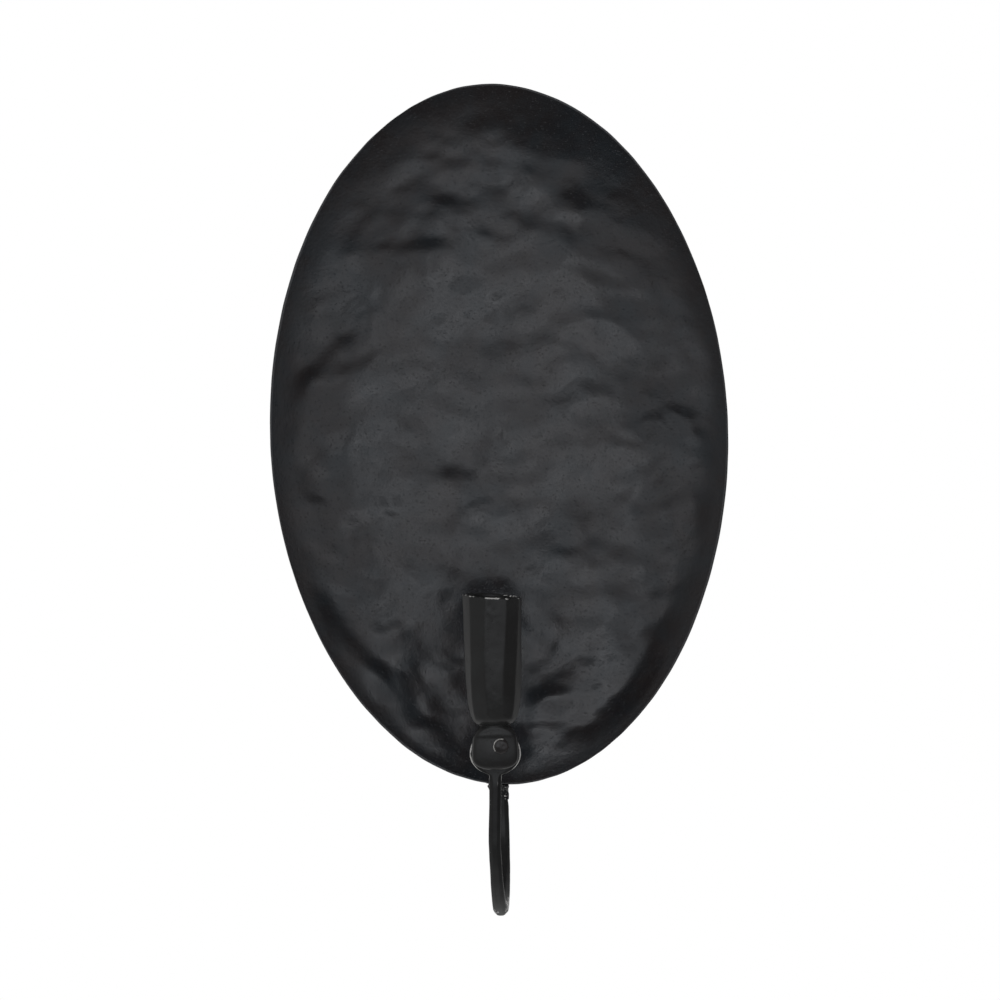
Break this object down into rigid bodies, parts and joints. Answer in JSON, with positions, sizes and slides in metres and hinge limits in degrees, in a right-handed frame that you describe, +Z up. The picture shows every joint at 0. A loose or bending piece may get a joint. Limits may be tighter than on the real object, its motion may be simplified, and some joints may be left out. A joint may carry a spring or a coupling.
{
  "type": "wall candle holder",
  "caption": "Black forged iron wall candle holder: a hammered oval plate with a U-shaped arm that carries a faceted candle cup.",
  "frame": {"origin": "middle of the keyhole's round part in the hanger strap, on the wall plane", "axes": "+Z up along the oval plate, +Y into the wall, +X to the right for a viewer who faces the plate"},
  "size_m": [0.2201, 0.1104, 0.3909],
  "materials": {
    "hammered_plate": "black satin lacquer over hammered sheet iron",
    "strap_steel": "black satin lacquer over flat steel strip",
    "forged_bar": "black satin lacquer over forged bar",
    "weld_metal": "black lacquer over a weld bead",
    "forged_cup": "black satin lacquer over a hammered socket",
    "rivet_iron": "black lacquer over an iron rivet, rubbed bright at its edge"
  },
  "bodies": {
    "root": {"back_plate": "hammered_plate", "hanger_strap": "strap_steel", "arm": "forged_bar", "arm_weld": "weld_metal", "candle_cup": "forged_cup", "cup_rivet": "rivet_iron"}
  },
  "joints": []
}
